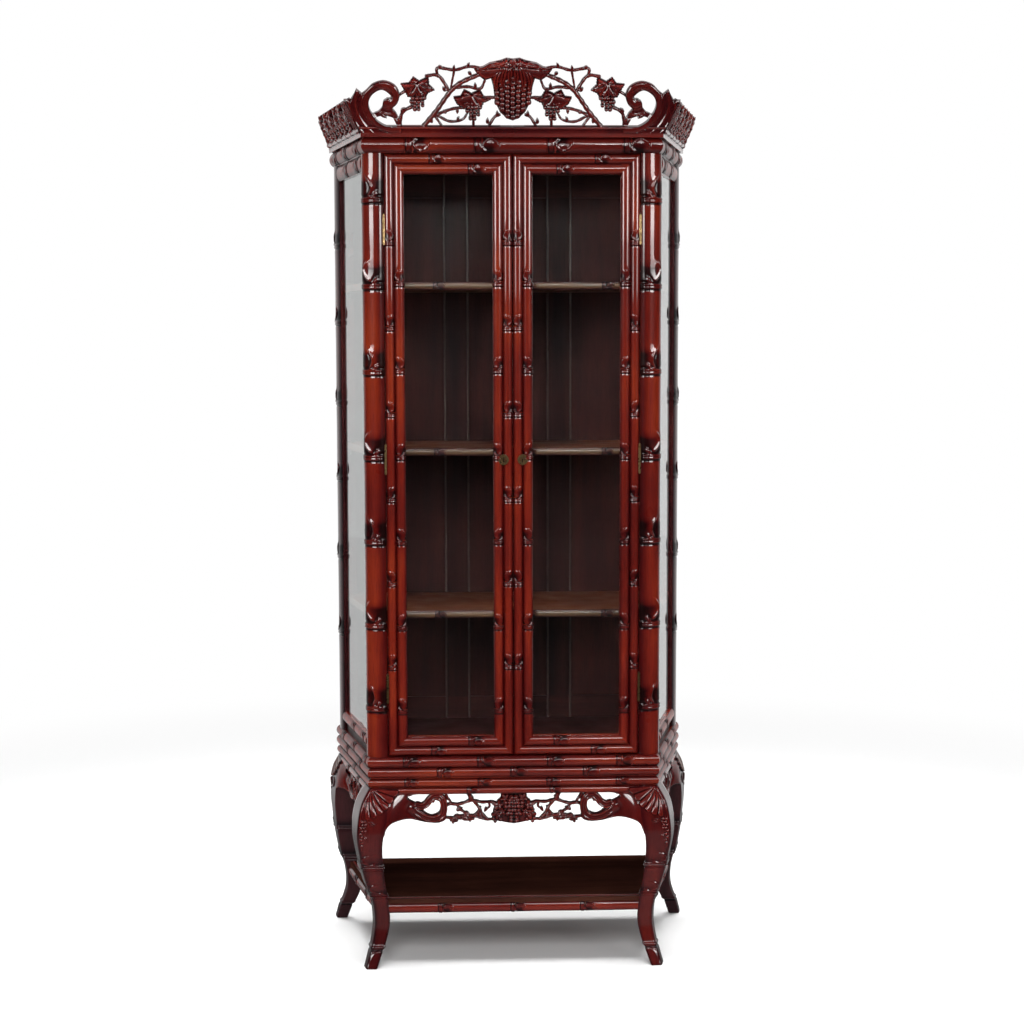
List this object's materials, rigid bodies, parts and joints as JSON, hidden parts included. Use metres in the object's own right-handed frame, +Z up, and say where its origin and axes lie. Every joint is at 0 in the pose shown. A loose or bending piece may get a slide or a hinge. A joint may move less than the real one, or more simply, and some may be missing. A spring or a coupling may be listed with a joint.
{
  "type": "chinese book cabinet",
  "caption": "Tall glazed display and book cabinet on a cabriole-leg stand, canted glass sides, two glazed hinged doors, shelves, bamboo-carved frame and pierced vine gallery.",
  "frame": {"origin": "on the floor, in the middle of the footprint", "axes": "+Z up, the doors face -Y, +X to the right of someone facing the doors"},
  "size_m": [0.8772, 0.4563, 2],
  "materials": {
    "rosewood": "high-gloss dark red-brown lacquer",
    "inner_wood": "dark stained, satin",
    "shelf_wood": "golden brown lacquer on the shelf edges",
    "glass": "clear sheet glass",
    "brass": "aged brass"
  },
  "bodies": {
    "cabinet": {"apron_front": "rosewood", "apron_rear": "rosewood", "apron_side_left": "rosewood", "apron_side_right": "rosewood", "back_muntins": "inner_wood", "back_panels": "inner_wood", "back_rails": "inner_wood", "cornice_front": "rosewood", "cornice_rear": "rosewood", "cornice_side_left": "rosewood", "cornice_side_right": "rosewood", "floor_board": "inner_wood", "front_post_left": "rosewood", "front_post_right": "rosewood", "gallery_front": "rosewood", "gallery_side_left": "rosewood", "gallery_side_right": "rosewood", "hinge_case_leaves_and_pins": "brass", "leg_front_left": "rosewood", "leg_front_right": "rosewood", "leg_rear_left": "rosewood", "leg_rear_right": "rosewood", "plinth_front": "rosewood", "plinth_rear": "rosewood", "plinth_side_left": "rosewood", "plinth_side_right": "rosewood", "rear_post_left": "rosewood", "rear_post_right": "rosewood", "roof_board": "inner_wood", "shelf_cleats": "inner_wood", "shelf_lower": "shelf_wood", "shelf_middle": "shelf_wood", "shelf_upper": "shelf_wood", "side_glass_left": "glass", "side_glass_right": "glass", "side_rail_bottom_left": "rosewood", "side_rail_bottom_right": "rosewood", "side_rail_top_left": "rosewood", "side_rail_top_right": "rosewood", "undershelf_panel": "rosewood", "undershelf_rail_front": "rosewood", "undershelf_rail_rear": "rosewood", "undershelf_rail_side_left": "rosewood", "undershelf_rail_side_right": "rosewood"},
    "door_left": {"door_hinge_stile_left": "rosewood", "door_lock_stile_left": "rosewood", "door_rail_top_left": "rosewood", "door_rail_bottom_left": "rosewood", "door_glass_left": "glass", "hinge_leaves_door_left": "brass", "key_plate_left": "brass"},
    "door_right": {"door_hinge_stile_right": "rosewood", "door_lock_stile_right": "rosewood", "door_rail_top_right": "rosewood", "door_rail_bottom_right": "rosewood", "door_glass_right": "glass", "hinge_leaves_door_right": "brass", "key_plate_right": "brass", "lock_case": "brass"},
    "lock_bolt": {"lock_bolt": "brass"}
  },
  "joints": [
    {"name": "door_left_hinge", "type": "hinge", "parent": "cabinet", "child": "door_left", "pos_m": [-0.279, -0.156, 1.142], "axis": [0, 0, -1], "range_deg": [0, 110]},
    {"name": "door_right_hinge", "type": "hinge", "parent": "cabinet", "child": "door_right", "pos_m": [0.279, -0.156, 1.142], "axis": [0, 0, 1], "range_deg": [0, 110]},
    {"name": "lock_bolt_slide", "type": "slide", "parent": "door_right", "child": "lock_bolt", "axis": [-1, 0, 0], "range_m": [0, 0.006]}
  ]
}
